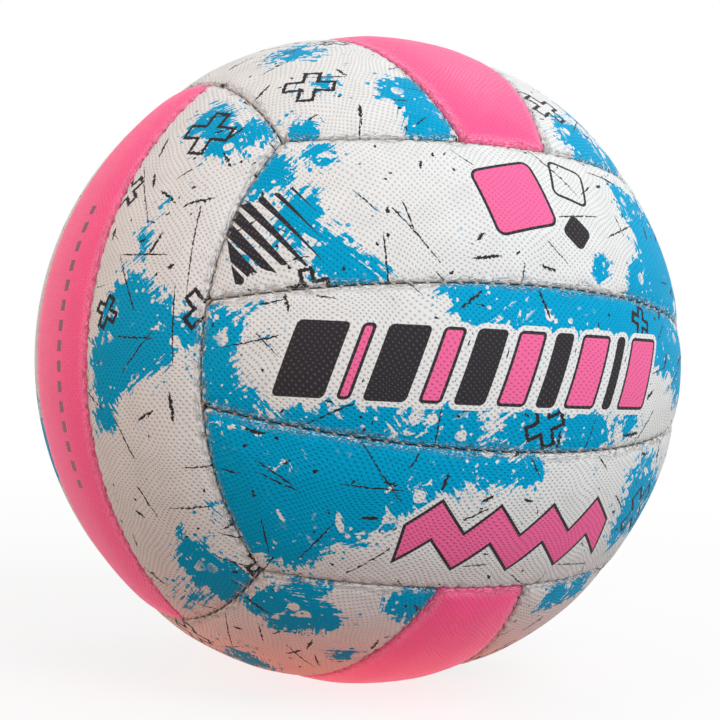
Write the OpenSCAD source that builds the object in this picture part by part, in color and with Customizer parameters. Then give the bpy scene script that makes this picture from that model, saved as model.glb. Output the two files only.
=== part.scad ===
// Size 5 netball: eighteen stitched cover panels over a blown-up rubber bladder.
// The origin is the centre of the ball, +Z is up, and the front face looks along -Y.
// Each of the six faces holds three strips: a middle one and one on either side of it.

/* [Ball] */
// Diameter over the crowns of the panels
ball_d = 222.8; // [217:0.2:229]

/* [Seam layout] */
// Angle at the centre from the middle of a face to the seams beside its middle strip
strip_angle = 12.8; // [11.5:0.1:14.5]
// Lean of the seams between the faces, which bows the long sides outwards
edge_lean = 7.5; // [4:0.1:11]

/* [Panel edges] */
// Radius that a panel's edge rolls down into the seam with
roll_r = 4; // [3.4:0.1:4.6]
// Depth of the turned-in sewing edge below the crown of the ball
flange_depth = 5.5; // [5.1:0.1:7]
// Gap between the two panels of a seam
seam_gap = 0.3; // [0.2:0.05:0.5]
// Lean of the sewing edges between the faces, which are pressed over to one side
flange_lean = 4; // [3:0.5:8]

/* [Panel layers] */
// Thickness of the pimpled outer skin
cover_t = 1.6; // [1.2:0.1:2]
// Thickness of the laminated cloth behind the skin, with its glue
lining_t = 1; // [0.6:0.1:1.2]
// Glue line between two layers
glue_t = 0.05; // [0.02:0.01:0.1]

/* [Stitching] */
// Diameter of the waxed thread in the seams
thread_d = 0.8; // [0.5:0.1:1]
// Clearance of the thread from the panels and from the next thread
thread_gap = 0.12; // [0.05:0.01:0.2]

/* [Bladder] */
// Thickness of the bladder's wall
bladder_t = 0.7; // [0.5:0.1:1]
// Gap between the bladder and the sewing edges that it presses on
bladder_gap = 0.3; // [0.2:0.05:0.5]

/* [Valve] */
// Diameter of the valve boss where it passes through the panel
boss_d = 9; // [8.4:0.1:11]
// Length of the valve boss
boss_length = 18; // [15:0.5:22]
// Depth of the boss's mouth below the crown of the ball
boss_recess = 0.3; // [0.1:0.05:0.6]
// Bevel round the boss's inner end
boss_bevel = 1; // [0.5:0.1:1.4]
// Diameter of the round foot that is cured onto the bladder
foot_d = 30; // [24:0.5:32]
// Thickness of that foot
foot_t = 1.2; // [0.8:0.1:1.5]
// Diameter of the rubber plug inside the boss
plug_d = 5; // [4.4:0.1:5.6]
// Length of the plug below its head
plug_length = 19; // [17:0.5:23]
// Diameter of the plug's head
plug_head_d = 6.6; // [6.2:0.1:7]
// Thickness of the plug's head
plug_head_t = 1; // [0.9:0.1:1.4]
// Length of the slanted lips at the plug's inner end
lip_length = 4; // [3:0.5:5]
// Thickness of the closed lips at their tip
lip_t = 1.6; // [1.2:0.1:2]
// Diameter of the channel for the inflating needle
needle_d = 2; // [1.6:0.1:2.2]
// Length of that channel below its dimple
needle_length = 12; // [9:0.5:12]
// Diameter of the dimple that guides the needle in
dimple_d = 4; // [3:0.1:4.6]
// Depth of the dimple
dimple_depth = 0.8; // [0.5:0.05:0.85]
// Gap round the boss and round the plug
valve_gap = 0.15; // [0.1:0.01:0.2]
// Distance of the cloth patch behind the valve panel from the panel's sewing edges
patch_margin = 3; // [2:0.5:5]
// Thickness of that patch
patch_t = 0.6; // [0.4:0.05:0.9]

/* [Hidden] */
ball_r = ball_d / 2;
core_r = ball_r - flange_depth;
bladder_r = core_r - bladder_gap;
lining_r = ball_r - cover_t - lining_t;
thread_r = thread_d / 2;
mouth_z = ball_r - boss_recess;
hole_d = boss_d + 2 * valve_gap;
patch_r = lining_r * sin(strip_angle) - seam_gap / 2 - cover_t - lining_t - patch_margin;
// How far a cut runs past what it cuts
overrun = 1;
// How far a roll stands past the faces that it rounds, so that it meets them at an angle
proud = 0.05;
// How far the cutting forms reach past the ball
reach = 2 * ball_r;
// Angle that a strip's blank is cut wider by than the strip
spare_angle = 3;
$fn = 96;

// Middle of a panel's rolled edge: its distance along the seam, and its height off the seam
roll_lift = seam_gap / 2 + roll_r - proud;
roll_run = sqrt(pow(ball_r - roll_r + proud, 2) - pow(roll_lift, 2));
// Distance of the thread from the centre of the ball, where it beds between two rolled edges
thread_run = roll_run + sqrt(pow(roll_r + thread_gap + thread_r, 2) - pow(roll_lift, 2));

// The seams between the faces are circles: their angle from their axis, and half of the arc
// from one corner of a face to the next round that axis
edge_polar = acos((cos(edge_lean) - sin(edge_lean)) / sqrt(3));
edge_half = asin(1 / sqrt(3) / sin(edge_polar));
// Half of the arc of a seam beside a middle strip, up to the seam at the end of its face
end_swing = atan(tan(edge_lean) / cos(strip_angle));
end_share = sqrt(pow(cos(strip_angle), 2) + pow(tan(edge_lean), 2));
strip_half = acos((1 - tan(edge_lean)) / sqrt(3) / end_share) - end_swing;

// Each face: its name, the turn that carries +Z to its middle, and the names of its three strips
FACES = [
    ["front", [90, 0, 0], ["lower", "middle", "upper"]],
    ["back", [90, 0, 180], ["lower", "middle", "upper"]],
    ["left", [0, -90, 0], ["front", "middle", "back"]],
    ["right", [0, 90, 0], ["front", "middle", "back"]],
    ["top", [0, 0, -90], ["left", "middle", "right"]],
    ["bottom", [180, 0, 90], ["left", "middle", "right"]]
];
MIDDLE = 1;
VALVE_TURN = FACES[3][1];

function panel_name(face, strip) = str(face[0], "_panel_", face[2][strip]);
function lining_name(face, strip) = str(face[0], "_lining_", face[2][strip]);
function thread_name(face) = str(face[0], "_seam_thread");
function is_pink(face, strip) = strip == MIDDLE && face[0] != "front" && face[0] != "back";
function has_valve(face, strip) = strip == MIDDLE && face[0] == "right";

// Seams round a strip: the tilt of their axis about X and Y, their turn round it, the angle from it
// within which the strip lies, and the lean of the sewing edge. A strip at either side is drawn on
// the +Y side of its face and mirrored for the other.
SHORT_ENDS = [
    [0, -edge_lean, 180, edge_polar, flange_lean],
    [0, edge_lean, 0, edge_polar, flange_lean]
];
MIDDLE_SEAMS = concat(SHORT_ENDS, [
    [90 - strip_angle, 0, 0, 90, 0],
    [strip_angle - 90, 0, 0, 90, 0]
]);
SIDE_SEAMS = concat(SHORT_ENDS, [
    [270 - strip_angle, 0, 0, 90, 0],
    [90 - edge_lean, 0, 0, 180 - edge_polar, -flange_lean]
]);

// Everything past one seam, to be cut off a strip that is drawn inset from the ball's surface
module past_seam(polar, lean, inset) {
    out = [sin(polar), cos(polar)];
    side = [-cos(polar), sin(polar)];
    centre = roll_run * out + roll_lift * side;
    foot = roll_run * out + (seam_gap / 2 + inset) * side;
    root = foot - 2 * flange_depth * (cos(lean) * out + sin(lean) * side);
    rotate_extrude() difference() {
        polygon([
            root,
            foot,
            centre,
            centre * reach / norm(centre),
            [reach, -reach],
            [0, -reach],
            [0, -norm(root)]
        ]);
        translate(centre) circle(r = roll_r - inset);
    }
}

// A spherical layer with its poles along X, away from the middle of a face
module shell(outer_r, inner_r) rotate([0, 90, 0]) difference() {
    sphere(r = outer_r);
    sphere(r = inner_r);
}

// A wedge of that layer, a little larger than a strip on every side
module blank(strip, outer_r, inner_r) {
    from = strip == MIDDLE ? -strip_angle - spare_angle : strip_angle - spare_angle;
    to = strip == MIDDLE ? strip_angle + spare_angle : 45 + spare_angle;
    intersection() {
        shell(outer_r, inner_r);
        rotate([90, 0, 90]) linear_extrude(height = 2 * ball_r * sin(60), center = true)
            polygon([[0, 0], reach * [sin(from), cos(from)], reach * [sin(to), cos(to)]]);
    }
}

// A blank trimmed along its first seams, one after the other
module trimmed(strip, seams, count, inset, inner_r) {
    if (count == 0) blank(strip, ball_r - inset, inner_r);
    else {
        seam = seams[count - 1];
        difference() {
            trimmed(strip, seams, count - 1, inset, inner_r);
            rotate([seam[0], seam[1], 0]) rotate([0, 0, seam[2]]) past_seam(seam[3], seam[4], inset);
        }
    }
}

// The full form of a strip from an inset below the ball's surface down to a radius
module strip_form(strip, inset, inner_r) {
    seams = strip == MIDDLE ? MIDDLE_SEAMS : SIDE_SEAMS;
    mirror([0, strip == 0 ? 1 : 0, 0]) trimmed(strip, seams, len(seams), inset, inner_r);
}

// One layer of a strip: a curved tray whose rolled rim is the sewing edge
module layer(strip, from, to) difference() {
    strip_form(strip, from, core_r);
    strip_form(strip, to, core_r - overrun);
}

module valve_hole() translate([0, 0, core_r - overrun]) cylinder(d = hole_d, h = flange_depth + 2 * overrun);

// Pimpled skin of one strip
module cover_panel(face, strip) color(is_pink(face, strip) ? "hotpink" : "white") rotate(face[1]) difference() {
    layer(strip, 0, cover_t);
    if (has_valve(face, strip)) valve_hole();
}

// Laminated cloth glued behind it
module lining(face, strip) color("wheat") rotate(face[1]) difference() {
    layer(strip, cover_t + glue_t, cover_t + lining_t);
    if (has_valve(face, strip)) valve_hole();
}

// Thread along a stretch of a seam, half to either side of its middle, stopping short of the next thread
module thread_arc(tilt, polar, half) {
    stop = half - (thread_r + thread_gap) / (thread_run * sin(polar)) * 180 / PI;
    rotate([tilt, 0, 0]) rotate([0, 0, 90 - stop]) rotate_extrude(angle = 2 * stop, start = 0)
        translate(thread_run * [sin(polar), cos(polar)]) circle(r = thread_r);
}

// Thread of a face: its two strip seams and the seams along its two long sides
module seam_thread(face) color("whitesmoke") rotate(face[1]) for (flip = [0, 1]) mirror([0, flip, 0]) {
    thread_arc(90 - strip_angle, 90, strip_half);
    thread_arc(90 - edge_lean, 180 - edge_polar, edge_half);
}

// Airtight ball that the cover is laced round
module bladder() color("dimgray") rotate(VALVE_TURN) difference() {
    shell(bladder_r, bladder_r - bladder_t);
    translate([0, 0, bladder_r - bladder_t - overrun]) cylinder(d = hole_d, h = bladder_t + 2 * overrun);
}

// Moulded rubber tube with a foot on the bladder and its mouth in the panel
module valve_boss() color("black") rotate(VALVE_TURN) difference() {
    union() {
        rotate_extrude() polygon([
            [0, mouth_z - boss_length],
            [boss_d / 2 - boss_bevel, mouth_z - boss_length],
            [boss_d / 2, mouth_z - boss_length + boss_bevel],
            [boss_d / 2, mouth_z],
            [0, mouth_z]
        ]);
        intersection() {
            shell(bladder_r + glue_t + foot_t, bladder_r + glue_t);
            cylinder(d = foot_d, h = ball_r);
        }
    }
    translate([0, 0, mouth_z - boss_length - overrun])
        cylinder(d = plug_d + 2 * valve_gap, h = boss_length + 2 * overrun);
    translate([0, 0, mouth_z - plug_head_t - valve_gap])
        cylinder(d = plug_head_d + 2 * valve_gap, h = plug_head_t + valve_gap + overrun);
}

// Self-closing rubber plug that the needle is pushed through
module valve_plug() color("darkslategray") rotate(VALVE_TURN) translate([0, 0, mouth_z]) difference() {
    union() {
        translate([0, 0, -plug_head_t]) cylinder(d = plug_head_d, h = plug_head_t);
        translate([0, 0, -plug_head_t - plug_length]) cylinder(d = plug_d, h = plug_length + plug_head_t / 2);
    }
    translate([0, 0, -dimple_depth])
        cylinder(d1 = needle_d, d2 = dimple_d, h = dimple_depth);
    translate([0, 0, -dimple_depth - needle_length]) cylinder(d = needle_d, h = needle_length + overrun);
    for (turn = [0, 180]) rotate([0, 0, turn]) lip_cut();
}

// Slanted cut that thins one side of the plug's lips
module lip_cut() translate([0, plug_d, -plug_head_t - plug_length]) rotate([90, 0, -90])
    linear_extrude(height = 2 * plug_d, center = true) polygon([
        [0, -overrun],
        [plug_d - lip_t / 2, -overrun],
        [plug_d - lip_t / 2, 0],
        [plug_d / 2, lip_length],
        [0, lip_length]
    ]);

// Cloth patch glued behind the valve panel round the boss
module valve_patch() color("beige") rotate(VALVE_TURN) difference() {
    intersection() {
        shell(lining_r - glue_t, lining_r - glue_t - patch_t);
        cylinder(r = patch_r, h = ball_r);
    }
    valve_hole();
}

for (face = FACES) {
    for (strip = [0:2]) {
        cover_panel(face, strip);
        lining(face, strip);
    }
    seam_thread(face);
}
bladder();
valve_boss();
valve_plug();
valve_patch();
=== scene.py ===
"""The looks of a size 5 netball: a printed, pimpled cover of eighteen stitched panels.

Each panel is a fine grid laid over the ball, with rolled edges, stitch puckers and a sewing edge
turned in. Lengths are in millimetres unless a name says otherwise, and MM turns them into metres.
"""

import math

import bpy
import numpy as np
from mathutils import Euler, Matrix, Vector


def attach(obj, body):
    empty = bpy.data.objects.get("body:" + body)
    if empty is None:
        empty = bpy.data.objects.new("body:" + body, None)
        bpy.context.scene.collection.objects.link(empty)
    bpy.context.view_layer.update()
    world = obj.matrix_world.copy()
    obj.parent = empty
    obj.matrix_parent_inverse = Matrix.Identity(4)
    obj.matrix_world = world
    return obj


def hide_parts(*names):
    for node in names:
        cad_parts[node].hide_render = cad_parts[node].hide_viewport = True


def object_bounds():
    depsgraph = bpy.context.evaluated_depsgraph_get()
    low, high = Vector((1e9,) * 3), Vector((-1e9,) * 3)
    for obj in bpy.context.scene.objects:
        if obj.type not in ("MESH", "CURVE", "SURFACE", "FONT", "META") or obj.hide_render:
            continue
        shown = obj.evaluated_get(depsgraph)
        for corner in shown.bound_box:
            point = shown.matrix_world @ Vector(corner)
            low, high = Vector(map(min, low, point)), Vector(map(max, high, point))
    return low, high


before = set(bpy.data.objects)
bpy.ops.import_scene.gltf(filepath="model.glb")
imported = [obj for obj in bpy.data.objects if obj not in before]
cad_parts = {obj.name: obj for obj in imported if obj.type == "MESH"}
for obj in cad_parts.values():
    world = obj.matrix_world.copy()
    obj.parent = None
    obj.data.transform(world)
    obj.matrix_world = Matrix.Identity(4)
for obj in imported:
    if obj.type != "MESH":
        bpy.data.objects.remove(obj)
cad_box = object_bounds()

MM = 0.001

# Sizes of the ball, its seams and its cover
BALL_R = cad_box[1].z / MM
STRIP_ANGLE = math.radians(12.8)
EDGE_LEAN = math.radians(7.5)
FLANGE_DEPTH = 5.5
LEAST_FLANGE = 0.3
SEAM_GAP = 0.3
COVER_T = 1.6
GAP_ANGLE = SEAM_GAP / 2 / BALL_R
EDGE_POLAR = math.acos((math.cos(EDGE_LEAN) - math.sin(EDGE_LEAN)) / math.sqrt(3))

# How the cover swells between its seams and puckers at its stitches
LIP_R = 1.0
CORNER_R = 2.4
CORNER_SLOPE = 3.0
SHOULDER_DEPTH = 0.5
SHOULDER_RUN = 4.5
CROWN_DEPTH = 0.7
CROWN_RUN = 14.0
STITCH_PITCH = 5.0
PUCKER_DEPTH = 0.8
PUCKER_REACH = 1.5
PUCKER_SHARPNESS = 4
# Pull of the stitches: how much it varies, its turn in radians to the millimetre and from seam to seam
PULL_SWING = 0.25
PULL_TURN = 0.37
SEAM_TURN = 1.9
# Wrinkles: depth, turns in radians to the millimetre, and distances from the seam
WRINKLE_DEPTH = 0.08
WRINKLE_ALONG = 0.9
WRINKLE_WANDER = (0.23, 3)
WRINKLE_ACROSS = 1.6
WRINKLE_SLANT = 0.21
WRINKLE_START = (0.5, 2)
WRINKLE_END = (3, 6)

# Grid of a panel: its cells along and across, and the closer rows by its edges
CELL_ALONG = 0.75
CELL_ACROSS = 1.3
LIP_STEPS = 7
SHOULDER_CELL = 0.55
SEARCH_STEPS = 40

# Thread of the seams
THREAD_R = 0.42
STITCH_RISE = 2.05
THREAD_SINK = 4.2
THREAD_SWAY = 0.45
POINTS_PER_STITCH = 8
THREAD_FACETS = 1
STITCHED_SHARE = 0.985

# Each face of the ball: the turn that carries +Z to its middle, and its strips in order
FACES = {
    "front": ((90, 0, 0), ("lower", "middle", "upper")),
    "back": ((90, 0, 180), ("lower", "middle", "upper")),
    "left": ((0, -90, 0), ("front", "middle", "back")),
    "right": ((0, 90, 0), ("front", "middle", "back")),
    "top": ((0, 0, -90), ("left", "middle", "right")),
    "bottom": ((180, 0, 90), ("left", "middle", "right")),
}
# Number of the middle strip, and the angle from it to the middle of a side strip
MIDDLE = 1
SIDE_MIDDLE = math.radians(27)
# The panel with the valve's hole, and the hole's radius. Grid points go up to a margin past it, and the
# border that they leave is looked for within HOLE_SEARCH_R.
VALVE_PANEL = "right_panel_middle"
VALVE_HOLE_R = 4.65
HOLE_MARGIN = CELL_ACROSS / 3
HOLE_SEARCH_R = 3 * VALVE_HOLE_R

# Splashes of paint on the strips that the photograph shows: place along and across, reach, strength
SPLASHES = {
    "left_panel_front": (
        (14, 7, 11, 1.0), (2, 11, 11, 1.1), (-9, 13, 9, 0.9), (2, -4, 9, 0.8), (8, -15, 8, 0.8),
        (-22, 17, 7, 0.6), (32, 6, 5, 0.6), (45, 2, 5, 0.5), (78, 1, 9, 0.9), (66, -11, 9, 0.8),
        (76, -22, 8, 0.8), (-76, -16, 12, 1.0), (-64, -8, 9, 0.7), (-48, -20, 7, 0.6), (-84, 4, 8, 0.6),
    ),
    "front_panel_middle": (
        (-98, 6, 8, 1.0), (-98, -8, 9, 1.0), (-86, 12, 6, 0.5), (-88, -16, 7, 0.7), (-72, -20, 9, 1.0),
        (-52, -22, 11, 1.2), (-28, -21, 11, 1.1), (-2, -21, 12, 1.3), (20, -20, 10, 1.1),
        (-24, 19, 8, 1.0), (-8, 20, 9, 1.2), (8, 20, 9, 1.2), (22, 19, 9, 1.3), (38, 18, 11, 1.3),
        (56, 15, 12, 1.3), (74, 8, 12, 1.2), (88, -2, 10, 1.0), (40, -16, 7, 0.6),
    ),
    "front_panel_lower": (
        (-94, 2, 12, 1.2), (-84, 14, 12, 1.2), (-72, 4, 13, 1.3), (-60, 16, 14, 1.3), (-46, 22, 12, 1.2),
        (-66, -12, 11, 1.1), (-50, 2, 10, 1.0), (-84, -12, 10, 1.0), (-40, 10, 8, 0.8), (-29, 22, 10, 1.1),
        (-13, 23, 8, 1.0), (2, 23, 7, 0.8), (58, 10, 12, 1.0), (72, -4, 12, 0.9), (52, -8, 8, 0.6),
    ),
    "front_panel_upper": (
        (48, 10, 9, 0.8), (58, 2, 11, 1.1), (62, -14, 12, 1.2), (74, 10, 12, 1.1), (80, -8, 14, 1.2),
        (46, -21, 8, 1.0), (26, -20, 6, 0.7), (-84, 15, 8, 0.9), (-68, -2, 9, 1.0), (-74, 18, 7, 0.8),
        (-60, 19, 6, 0.9), (-62, -18, 8, 0.9), (-88, -8, 7, 0.5), (-50, -22, 6, 0.6),
    ),
    "top_panel_left": (
        (74, -22, 7, 0.8), (90, 12, 9, 0.9), (74, 14, 8, 1.0), (98, 8, 7, 0.8), (60, -4, 7, 0.7),
        (86, 20, 7, 0.8), (30, 4, 12, 0.9), (-20, -4, 14, 0.9), (-70, 6, 13, 1.0),
    ),
    "top_panel_right": (
        (86, -2, 11, 1.2), (92, 10, 8, 0.9), (76, 16, 8, 0.9), (54, 4, 12, 0.9), (10, -6, 12, 0.9),
        (-40, 8, 14, 1.0),
    ),
    "bottom_panel_left": (
        (-64, -14, 11, 1.0), (-72, -2, 7, 0.7), (-92, 10, 8, 0.9), (-98, 16, 7, 0.8), (-58, 15, 7, 0.6),
        (-84, -18, 8, 0.8), (-20, 4, 13, 0.9), (40, -6, 14, 1.0),
    ),
    "bottom_panel_right": (
        (-86, -4, 9, 1.0), (-80, 10, 7, 0.8), (-50, 4, 12, 0.9), (0, -8, 13, 0.9), (50, 6, 14, 1.0),
    ),
}
# Chance splashes of the strips that it doesn't show, and the least and most of the same four values
CHANCE_COUNT = 11
CHANCE_SEED = 41
CHANCE_LEAST = (-95, -22, 7, 0.7)
CHANCE_MOST = (95, 22, 15, 1.2)
MOST_PAINT = 1.3
# How far apart the scatter of one strip lies from that of the next
STRIP_SHIFT = 40.0
SCATTER_SHIFT = (1.7, 2.3)

# Colours as they are seen under even light, from 0 to 255
WHITE_SKIN = (240, 240, 239)
BLUE_INK = (0, 174, 224)
PINK_SKIN = (255, 80, 140)
# Painted glow: the pink skins give off light of their own colour at this strength, though they are no lamp
PINK_PAINTED_GLOW = 0.14
PINK_INK = (255, 114, 168)
# Painted sheen: the paler pink of a band along the seams, as if the rolled shoulders caught the light
PINK_SHEEN = (255, 150, 186)
BLACK_INK = (54, 51, 55)
# Painted highlight: the lighter colour of black ink on its pips
BLACK_PIP_HIGHLIGHT = (104, 100, 104)
WORN_SKIN = (242, 241, 239)
CREASE_DIRT = (108, 98, 92)
THREAD = (206, 190, 174)
LINING_CLOTH = (214, 200, 168)
BUTYL = (34, 34, 36)
VALVE_RUBBER = (28, 28, 30)
PLUG_RUBBER = (40, 42, 44)

# Pips of the skin
WHITE_PITCH = 2.05
PINK_PITCH = 1.8
PIP_ROW_SHARE = 0.93
PIP_REACH_SHARE = 0.25
PIP_WANDER = (0.05, 3.5)
PIP_FADE = (0.9, 2.4)
PIP_HEIGHT = 0.27
# Painted shade: the share by which every pip's colour is darkened
PIP_PAINTED_SHADE = 0.22
# Inks are made lighter on the pips by this share, taking back part of the painted shade of the pips
PIP_SHADE_EASE = 0.14

# Share of the usual gloss that each skin keeps, and its least roughness
PRINT_FINISH = (0.05, 0.42)
PINK_FINISH = (0.35, 0.33)
ROUGHNESS_SWING = 0.2
ROUGHNESS_SCALE = 0.8

# Mottling and grain. Here and below a scale is in waves to the millimetre, a drift has a scale and a reach,
# and levels are the values at which a mask begins and is full.
MOTTLE_SCALE = 0.12
MOTTLE_LEVELS = (0.3, 0.8)
SKIN_SHADE = 0.97
BLUE_MOTTLE_SCALE = 0.5
BLUE_SHADE = 0.92
PLAIN_SHADE = 0.85
GRAIN_SCALE = 3.5
GRAIN_HEIGHT = 0.015
CREASE_HEIGHT = 0.24
WORN_SHARE = 0.8

# Plain materials: colour, roughness, and the scale and depth of the grain
PLAIN = {
    "waxed_thread": (THREAD, 0.6, 2.0, 0.1),
    "lining_cloth": (LINING_CLOTH, 0.85, 1.5, 0.1),
    "butyl_rubber": (BUTYL, 0.55, 0.6, 0.05),
    "valve_rubber": (VALVE_RUBBER, 0.5, 1.2, 0.04),
    "plug_rubber": (PLUG_RUBBER, 0.6, 1.2, 0.04),
}

# Thrown paint: what flows, what crumbles and what streaks at its edges, then what is left bare
FLOW_DRIFT = (0.09, 13.0)
FRINGE_DRIFT = (0.42, 2.6)
BROAD_SCALE = 0.075
CRUMB_SCALE = 0.34
CRUMBLE_SCALE = 0.06
CRUMB_ROUGHNESS = (0.5, 0.38)
STREAKS = ((0.85, (0.08, 0.8, 1.0)), (-0.6, (0.09, 0.7, 1.0)))
STREAK_PATCH_SCALE = 0.035
STREAK_LEVELS = (0.44, 0.56)
STREAK_ROUGHNESS = 0.62
BROAD_SHARE = 1.1
CRUMB_SHARE = 1.25
STREAK_SHARE = 1.35
PAINT_LEVELS = (0.49, 0.51)
MARBLE_SHIFT = (31.0, 77.0, 0.0)
MARBLE_SCALE = 0.17
MARBLE_LEVELS = (0.615, 0.63)
PATCH_SCALE = 0.05
PATCH_LEVELS = (0.47, 0.53)
SOFT_SHARE = 0.9
RIM_LEVELS = ((1.25, 0.95), (0.3, 0.45))
NEAR_LEVELS = (0.08, 0.25)
# Drops: their wobble, and for each kind the spacing, the share of places with one and the largest radius
DROP_WOBBLE = (0.4, 1.2)
BLUE_DROPS = (4.0, 0.4, 0.9)
BARE_DROPS = {(131.0, 57.0, 0.0): (9.0, 0.45, 2.4), (59.0, 13.0, 0.0): (3.2, 0.4, 0.75)}

# Wear along the seams: creases that arch over each stitch, cracks and dirt, and a band of painted sheen
ARCH_RUN = 3.5
ARCH_RISE = 0.3
CREASE_SCALES = (0.33, 1.5)
CRACK_SCALES = (1.0, 2.3)
WEAR_SCALES = (0.07, 0.1)
WEAR_REACH = (6.0, -0.4)
WEAR_REACH_SHARE = 0.9
WEAR_START = 0.4
RIDGE_LEVELS = (0.0, 0.04)
CRACK_HEIGHT = 0.6
CRACK_LEVELS = (0.53, 0.57)
GROOVE_REACH = 0.3
GROOVE_DIRT = 0.5
LINE_LEVELS = (0.016, 0.004)
LINE_REACH = 1.5
LINE_START = 0.5
LINE_DIRT = 0.8
SHEEN_REACH = (4.5, 1.2)
SHEEN_LEVELS = (0.3, 0.75)

# Printed motifs. Their edges are softened over twice EDGE, and hand-drawn lines are ragged.
EDGE = 0.06
RAGGEDNESS = 0.7
OUTLINE = 0.95
PALE_BORDER = 1.5
BLOCK_PITCH = 26.0
BLOCK_GAP = 3.4
BLOCK_HEIGHT = 22.0
BLOCK_SLANT = -0.32
BLOCK_CORNER = 1.6
BLOCK_MIDDLE = -13.0
BLOCK_SPAN = 130.0
BLOCK_FADE = 0.72
TILE_CORNER = 2.2
TILES = {
    "pink": ((-4.0, 0.0, 0.0), 10.5, -0.25),
    "black": ((17.0, -9.5, 0.0), 4.4, 0.7),
    "open": ((18.5, 8.0, 0.0), 6.5, 0.2),
}
HATCH_MIDDLE = (-78.0, -3.0, 0.0)
HATCH_PITCH = 5.0
HATCH_WIDTH = 4.4
HATCH_HEIGHT = 24.0
HATCH_SPAN = 28.0
HATCH_SLANT = 0.6
HATCH_FRAY_SCALE = 0.25
HATCH_FRAY = 8.0
ZIGZAG_MIDDLE = (3.0, 0.0, 0.0)
ZIGZAG_PITCH = 19.0
ZIGZAG_RISE = 5.0
ZIGZAG_BAND = 8.0
ZIGZAG_SPAN = 74.0
CROSS_SHIFT = (97.0, 31.0, 0.0)
CROSS_SPACING = 46.0
CROSS_SPREAD = 0.7
CROSS_REACH = 9.0
CROSS_ARM = 0.3
CROSS_LINE = 0.62
CROSS_LINE_SWING = 1.6
CROSS_LINE_SCALE = 0.8
CROSS_SHARE = 0.48
DASH_PLACE = -9.0
DASH_PITCH = 6.4
DASH_LENGTH = 3.6
DASH_WIDTH = 3.0
DASH_SPAN = 92.0

# Scattered black strokes: spacing, length, width, and the share of places that hold one
STROKES = {
    "scratches": (21.0, 11.0, 0.36, 1.0),
    "long scratches": (26.0, 15.0, 0.3, 1.0),
    "bold strokes": (13.0, 4.2, 0.7, 0.5),
    "specks": (5.5, 0.9, 0.5, 0.2),
}
STROKE_SHIFT = (73.0, 131.0)
STROKE_WOBBLE = (0.5, 0.9)
STROKE_SPREAD = 0.8
LEAST_STROKE = 0.25
STROKE_TAPER = 3.0
STROKE_END = (1.0, 0.8)
KNOT_SCALE = 0.9
KNOT_WIDTHS = (4.5, -1.45)
LEAST_WIDTH = 0.01
CROWD_SCALE = 0.035
CROWD_LEVELS = (0.36, 0.6)

# Stage and light: each lamp's steps to the camera's right, up and towards it, distance and size in metres,
# power in watts, and colour
FLOOR_SPAN = 8.0
FLOOR_LIT = (144, 139, 137)
FLOOR_WARMTH = (228, 116, 96)
WARM_REACH = (0.12, 0.05)
FLOOR_KEEP = 0.8
FLOOR_FADE = (0.2, 0.9)
SKY_STRENGTH = 0.63
SKY_COLOUR = (1.0, 0.95, 0.93, 1.0)
LAMPS = {
    "key": ((0.5, 0.65, 0.75), 2.0, 1.0, 17.0, (0.88, 0.96, 1.0)),
    "right_fill": ((0.9, 0.1, 0.6), 2.0, 1.0, 8.0, (0.92, 0.98, 1.0)),
    "top_sheen": ((0.35, 0.9, -0.5), 2.0, 0.6, 3.2, (0.94, 0.98, 1.0)),
    "left_fill": ((-0.95, 0.0, 0.35), 1.5, 0.8, 8.4, (1.0, 0.53, 0.3)),
}
CAMERA_DISTANCE_SHARE = 4.841
CAMERA_LENS = 76.67
CAMERA_SENSOR = 36.0
CAMERA_CLIP = (0.05, 50.0)
CAMERA_SHIFT = (0.0027, -0.0006)
CAMERA_RIGHT = Vector((0.8778, -0.4766, 0.0489))
CAMERA_FORWARD = Vector((0.4772, 0.8787, -0.0036))
CAMERA_UP = Vector((-0.0411, 0.0265, 0.9988))


def tint(colour):
    """The linear value of a seen colour, by the sRGB curve"""
    linear = [c / 255 / 12.92 if c < 10.3 else ((c / 255 + 0.055) / 1.055) ** 2.4 for c in colour]
    return (*linear, 1.0)


def face_turn(face):
    """The turn that carries the +Z face to another"""
    return Euler([math.radians(angle) for angle in FACES[face][0]], "XYZ").to_matrix()


# The form of a panel


def shares(length, cell):
    """Shares of a length from edge to edge: close steps over the lips and shoulders, even ones between"""
    lip = LIP_R * (1 - np.cos(np.linspace(0, math.pi / 2, LIP_STEPS + 1)))
    shoulder = np.arange(LIP_R + SHOULDER_CELL, SHOULDER_RUN, SHOULDER_CELL)
    border = np.concatenate([lip, shoulder])
    count = round((length - 2 * border[-1]) / cell)
    even = np.linspace(border[-1], length - border[-1], count + 1)
    return np.concatenate([border, even[1:-1], length - border[::-1]]) / length


def side_angles(strip, along):
    """Angles across its face at which a strip's long sides lie, at an angle along it"""
    gap = np.arcsin(math.sin(GAP_ANGLE) / np.cos(along))
    if strip == MIDDLE:
        return gap - STRIP_ANGLE, STRIP_ANGLE - gap
    return STRIP_ANGLE + gap, EDGE_LEAN + np.arcsin(math.cos(EDGE_POLAR + GAP_ANGLE) / np.cos(along))


def end_angle(across):
    """Angle along a strip at which it ends, at an angle across its face"""
    lift = np.cos(across) * math.cos(EDGE_LEAN)
    slope = math.sin(EDGE_LEAN)
    return np.arccos(math.cos(EDGE_POLAR - GAP_ANGLE) / np.hypot(lift, slope)) - np.arctan2(slope, lift)


def directions(strip, along_share, across_share):
    """Unit directions from the ball's centre to the places of a strip of the +Z face

    The two angles depend on each other, so a search finds them, half a step at a time.
    """
    if strip == 0:
        across_share = 1 - across_share
    along = np.zeros(len(along_share))
    for _ in range(SEARCH_STEPS):
        low, high = side_angles(strip, along)
        across = low + across_share * (high - low)
        along = (along + along_share * end_angle(across)) / 2
    found = np.stack([np.sin(along), np.cos(along) * np.sin(across), np.cos(along) * np.cos(across)], 1)
    return found * [1, -1, 1] if strip == 0 else found


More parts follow.
